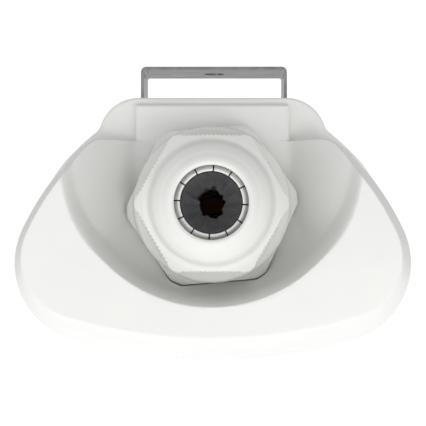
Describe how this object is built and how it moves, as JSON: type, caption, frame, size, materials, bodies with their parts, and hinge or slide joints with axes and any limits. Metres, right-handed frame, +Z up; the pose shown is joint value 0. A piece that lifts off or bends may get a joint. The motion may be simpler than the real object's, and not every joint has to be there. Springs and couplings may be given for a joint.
{
  "type": "sealed led batten luminaire",
  "caption": "Sealed D-section LED batten lamp with moulded end caps, a cable gland, a blanking plug, inner gear tray and two ceiling clips.",
  "frame": {"origin": "on the ceiling plane, half way between the two clip screw holes", "axes": "+X across the lamp, +Y along it away from the gland end, +Z up into the ceiling"},
  "size_m": [0.08, 0.605, 0.0633],
  "materials": {
    "stainless_strip": "brushed stainless spring strip, 0.7 mm",
    "white_polycarbonate": "white extruded polycarbonate, satin",
    "opal_polycarbonate": "opal extruded polycarbonate, soft gloss",
    "white_moulding": "white injection moulded polycarbonate, satin gloss",
    "gasket_rubber": "black silicone rubber",
    "gland_nylon": "white moulded nylon, satin",
    "seal_rubber": "dark grey moulded rubber",
    "tray_steel": "white powder coated steel sheet",
    "board_white": "aluminium circuit board with white solder resist",
    "led_phosphor": "yellow phosphor in a white chip",
    "rivet_nylon": "natural nylon push rivet",
    "driver_plastic": "light grey moulded case",
    "screw_steel": "zinc plated steel screw",
    "terminal_plastic": "pale grey moulded polyamide",
    "contact_brass": "plated brass strip",
    "button_orange": "orange moulded plastic",
    "lead_brown": "brown PVC insulation",
    "lead_blue": "blue PVC insulation",
    "lead_green": "green and yellow PVC insulation",
    "lead_red": "red PVC insulation",
    "lead_black": "black PVC insulation"
  },
  "bodies": {
    "clips": {"clip_front": "stainless_strip", "clip_rear": "stainless_strip"},
    "lamp": {"back_profile": "white_polycarbonate", "diffuser": "opal_polycarbonate", "gear_tray": "tray_steel", "led_boards": "board_white", "led_chips": "led_phosphor", "board_rivets": "rivet_nylon", "driver_case": "driver_plastic", "driver_lid": "driver_plastic", "driver_screws": "screw_steel", "terminal_block": "terminal_plastic", "terminal_contacts": "contact_brass", "terminal_screw": "screw_steel", "earth_tag": "contact_brass", "earth_screw": "screw_steel", "live_lead": "lead_brown", "neutral_lead": "lead_blue", "earth_lead": "lead_green", "led_lead_plus": "lead_red", "led_lead_minus": "lead_black"},
    "front_cap": {"front_end_cap": "white_moulding", "front_gasket": "gasket_rubber", "gland_body": "gland_nylon", "gland_seal": "seal_rubber", "gland_washer": "gasket_rubber", "gland_locknut": "gland_nylon"},
    "nut": {"gland_nut": "gland_nylon"},
    "rear_cap": {"rear_end_cap": "white_moulding", "rear_gasket": "gasket_rubber", "plug_locknut": "gland_nylon"},
    "plug_body": {"plug": "gland_nylon", "plug_washer": "gasket_rubber"},
    "button_live": {"terminal_button_live": "button_orange"},
    "button_neutral": {"terminal_button_neutral": "button_orange"},
    "button_earth": {"terminal_button_earth": "button_orange"}
  },
  "joints": [
    {"name": "lamp_slide", "type": "slide", "parent": "clips", "child": "lamp", "axis": [0, 1, 0], "range_m": [-0.024, 0.024]},
    {"name": "front_cap_pull", "type": "slide", "parent": "lamp", "child": "front_cap", "axis": [0, -1, 0], "range_m": [0, 0.06]},
    {"name": "gland_nut_turn", "type": "hinge", "parent": "front_cap", "child": "nut", "pos_m": [0, -0.29, -0.0324], "axis": [0, -1, 0], "range_deg": [0, 810]},
    {"name": "rear_cap_pull", "type": "slide", "parent": "lamp", "child": "rear_cap", "axis": [0, 1, 0], "range_m": [0, 0.06]},
    {"name": "plug_turn", "type": "hinge", "parent": "rear_cap", "child": "plug_body", "pos_m": [0, 0.28, -0.0324], "axis": [0, 1, 0], "range_deg": [0, 720]},
    {"name": "button_live_press", "type": "slide", "parent": "lamp", "child": "button_live", "axis": [0, 1, 0], "range_m": [0, 0.0015], "stiffness_N_per_m": 2000},
    {"name": "button_neutral_press", "type": "slide", "parent": "lamp", "child": "button_neutral", "axis": [0, 1, 0], "range_m": [0, 0.0015], "stiffness_N_per_m": 2000},
    {"name": "button_earth_press", "type": "slide", "parent": "lamp", "child": "button_earth", "axis": [0, 1, 0], "range_m": [0, 0.0015], "stiffness_N_per_m": 2000}
  ]
}
